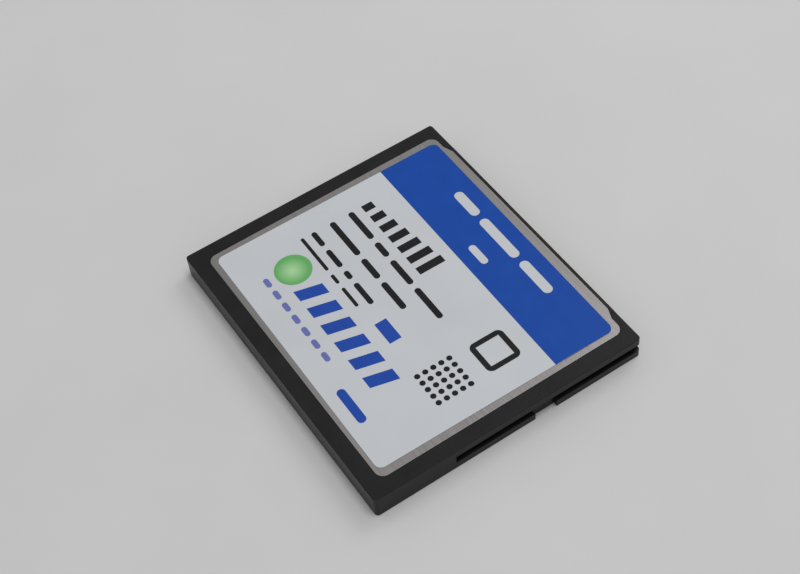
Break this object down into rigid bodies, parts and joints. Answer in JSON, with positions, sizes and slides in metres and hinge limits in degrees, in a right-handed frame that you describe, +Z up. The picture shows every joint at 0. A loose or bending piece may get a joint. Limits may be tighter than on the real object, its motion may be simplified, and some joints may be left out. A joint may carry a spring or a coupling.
{
  "type": "memory card",
  "caption": "Thin rectangular memory card: moulded frame with keyed side grooves, sheet-metal covers, printed label and a pin socket along one edge.",
  "frame": {"origin": "middle of the underside of the card, on the surface it lies on", "axes": "+X across the card to the right when the label reads upright, +Y towards the socket end, +Z up through the label"},
  "size_m": [0.0428, 0.0364, 0.0033],
  "materials": {
    "frame_plastic": "fine matt moulded texture",
    "cover_steel": "satin rolled stainless sheet",
    "label_film": "satin white film",
    "blue_ink": "satin printed ink",
    "dark_ink": "satin printed ink",
    "violet_ink": "satin printed ink",
    "green_ink": "satin printed ink",
    "socket_plastic": "smooth moulded",
    "contact_metal": "gold-plated strip",
    "board_laminate": "green solder resist",
    "chip_compound": "moulded compound",
    "tinned_metal": "bright tin",
    "capacitor_ceramic": "fired ceramic",
    "resistor_ceramic": "glazed film",
    "crystal_can": "satin pressed can"
  },
  "bodies": {
    "root": {"frame": "frame_plastic", "top_cover": "cover_steel", "bottom_cover": "cover_steel", "front_label": "label_film", "label_blue_field": "blue_ink", "label_dark_marks": "dark_ink", "label_blue_marks": "blue_ink", "label_violet_marks": "violet_ink", "label_green_mark": "green_ink", "socket_housing": "socket_plastic", "upper_contacts": "contact_metal", "lower_contacts": "contact_metal", "circuit_board": "board_laminate", "upper_flash_chip": "chip_compound", "upper_flash_leads": "tinned_metal", "lower_flash_chip": "chip_compound", "lower_flash_leads": "tinned_metal", "controller_chip": "chip_compound", "controller_leads": "tinned_metal", "ceramic_capacitors": "capacitor_ceramic", "capacitor_ends": "tinned_metal", "chip_resistors": "resistor_ceramic", "resistor_ends": "tinned_metal", "clock_crystal": "crystal_can", "voltage_detector": "chip_compound", "voltage_detector_leads": "tinned_metal"}
  },
  "joints": []
}
